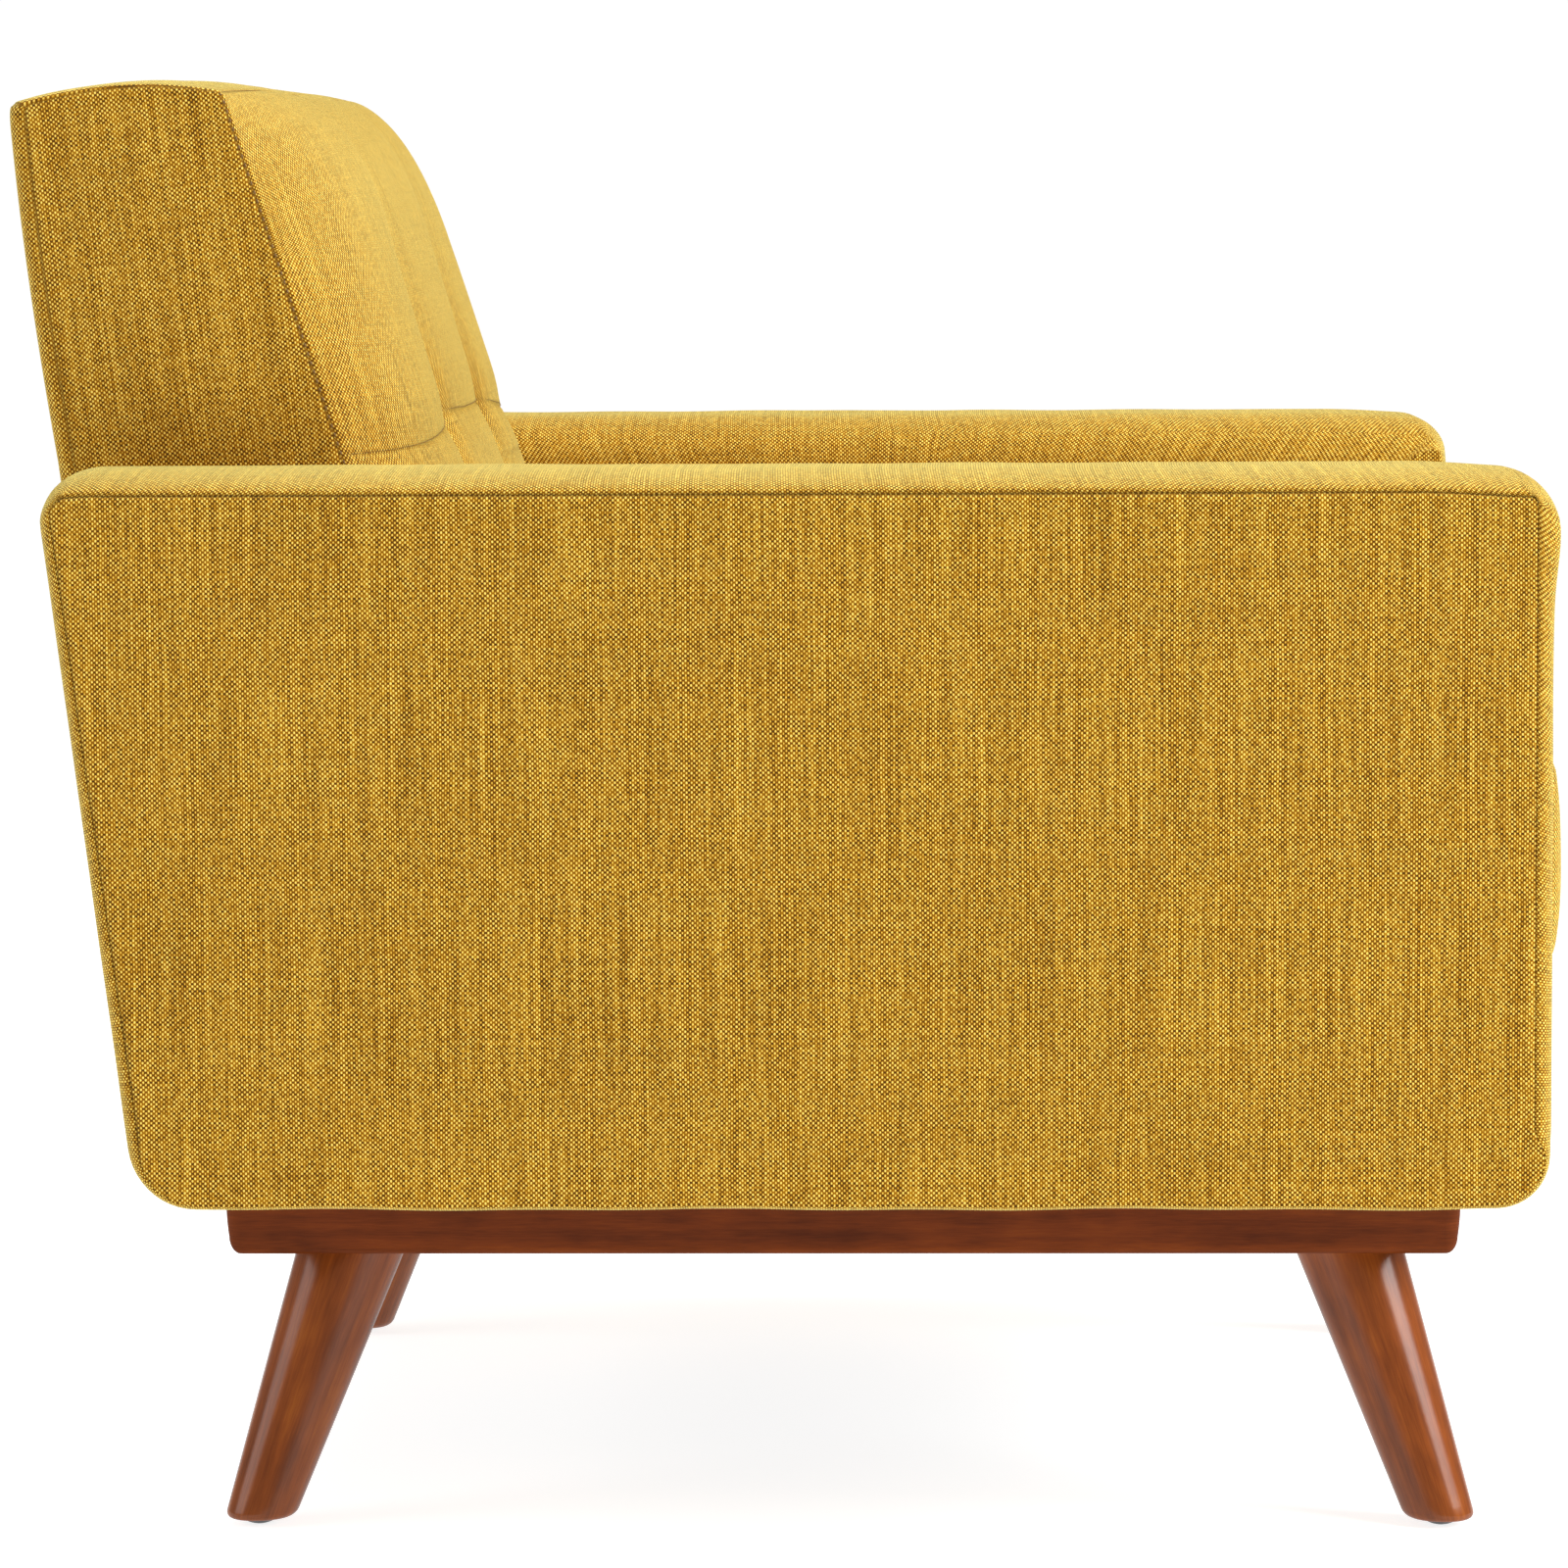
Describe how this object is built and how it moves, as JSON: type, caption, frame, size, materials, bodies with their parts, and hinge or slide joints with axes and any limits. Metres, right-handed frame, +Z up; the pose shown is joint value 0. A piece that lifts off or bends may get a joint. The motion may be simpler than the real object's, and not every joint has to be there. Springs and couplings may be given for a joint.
{
  "type": "single-seat sofa",
  "caption": "Upholstered lounge sofa chair with a tufted back, padded arms, a loose seat cushion, a wooden base and splayed tapered wooden legs.",
  "frame": {"origin": "on the floor, under the middle of the whole object's box", "axes": "+Z up; the sitter faces -Y; +X is the sitter's left and the width"},
  "size_m": [1, 0.862, 0.821],
  "materials": {
    "upholstery": "matte",
    "stained_wood": "satin",
    "frame_wood": "matte",
    "steel": "satin",
    "glide_plastic": "satin",
    "dust_cloth": "matte",
    "webbing": "matte",
    "deck_felt": "matte",
    "foam": "matte"
  },
  "bodies": {
    "frame": {"arm_bolts": "steel", "arm_left_bottom_rail": "frame_wood", "arm_left_front_pad": "upholstery", "arm_left_front_post": "frame_wood", "arm_left_inner_pad": "upholstery", "arm_left_outer_panel": "upholstery", "arm_left_rear_pad": "upholstery", "arm_left_rear_post": "frame_wood", "arm_left_top_board": "frame_wood", "arm_left_top_pad": "upholstery", "arm_right_bottom_rail": "frame_wood", "arm_right_front_pad": "upholstery", "arm_right_front_post": "frame_wood", "arm_right_inner_pad": "upholstery", "arm_right_outer_panel": "upholstery", "arm_right_rear_pad": "upholstery", "arm_right_rear_post": "frame_wood", "arm_right_top_board": "frame_wood", "arm_right_top_pad": "upholstery", "back_lower_pad": "upholstery", "back_lower_rail": "frame_wood", "back_lower_rear_panel": "upholstery", "back_screws": "steel", "back_side_pads": "upholstery", "back_stile_left": "frame_wood", "back_stile_right": "frame_wood", "back_top_pad": "upholstery", "back_top_rail": "frame_wood", "back_upper_pad": "upholstery", "back_upper_rear_panel": "upholstery", "back_webbing": "webbing", "base_corner_blocks": "frame_wood", "base_front_rail": "stained_wood", "base_rear_rail": "stained_wood", "base_screws": "steel", "base_side_rail_left": "stained_wood", "base_side_rail_right": "stained_wood", "dust_cover": "dust_cloth", "foot_glides": "glide_plastic", "leg_front_left": "stained_wood", "leg_front_right": "stained_wood", "leg_hanger_bolts": "steel", "leg_inserts": "steel", "leg_rear_left": "stained_wood", "leg_rear_right": "stained_wood", "seat_deck_pad": "deck_felt", "seat_front_pad": "upholstery", "seat_front_rail": "frame_wood", "seat_rear_rail": "frame_wood", "seat_side_rail_left": "frame_wood", "seat_side_rail_right": "frame_wood", "seat_springs": "steel", "spring_clips": "steel", "spring_tie_wires": "steel"},
    "seat_cushion": {"seat_cushion_bottom": "upholstery", "seat_cushion_boxing": "upholstery", "seat_cushion_core": "foam", "seat_cushion_top": "upholstery"}
  },
  "joints": [
    {"name": "seat_cushion_lift", "type": "slide", "parent": "frame", "child": "seat_cushion", "axis": [0, 0, 1], "range_m": [0, 0.3]}
  ]
}
